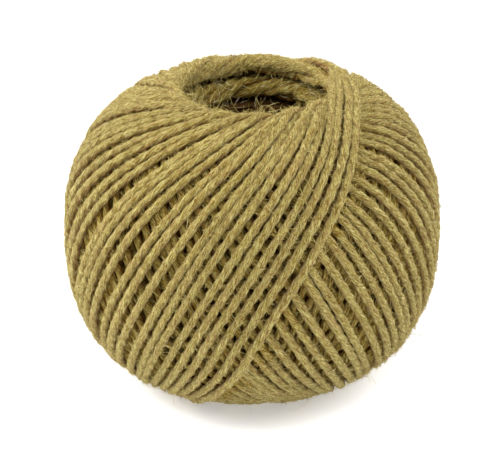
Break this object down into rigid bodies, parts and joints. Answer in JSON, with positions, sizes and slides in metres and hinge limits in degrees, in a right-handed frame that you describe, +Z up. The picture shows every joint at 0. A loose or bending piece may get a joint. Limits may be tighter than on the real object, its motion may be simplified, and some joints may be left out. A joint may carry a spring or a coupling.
{
  "type": "ball of twine",
  "caption": "Round ball of jute twine, wound at a slant about an open hollow that runs through it, standing on the pressed ring round its lower mouth.",
  "frame": {"origin": "on the ball's axis, at the level of the pressed ring that it stands on", "axes": "+Z up along the ball's axis and its hollow; the last turn rises across the side that faces -Y"},
  "size_m": [0.0954, 0.0966, 0.0786],
  "materials": {
    "jute_twine": "dry, matt plant fibre dyed olive, with loose hairs"
  },
  "bodies": {
    "root": {"twine_ball": "jute_twine"}
  },
  "joints": []
}
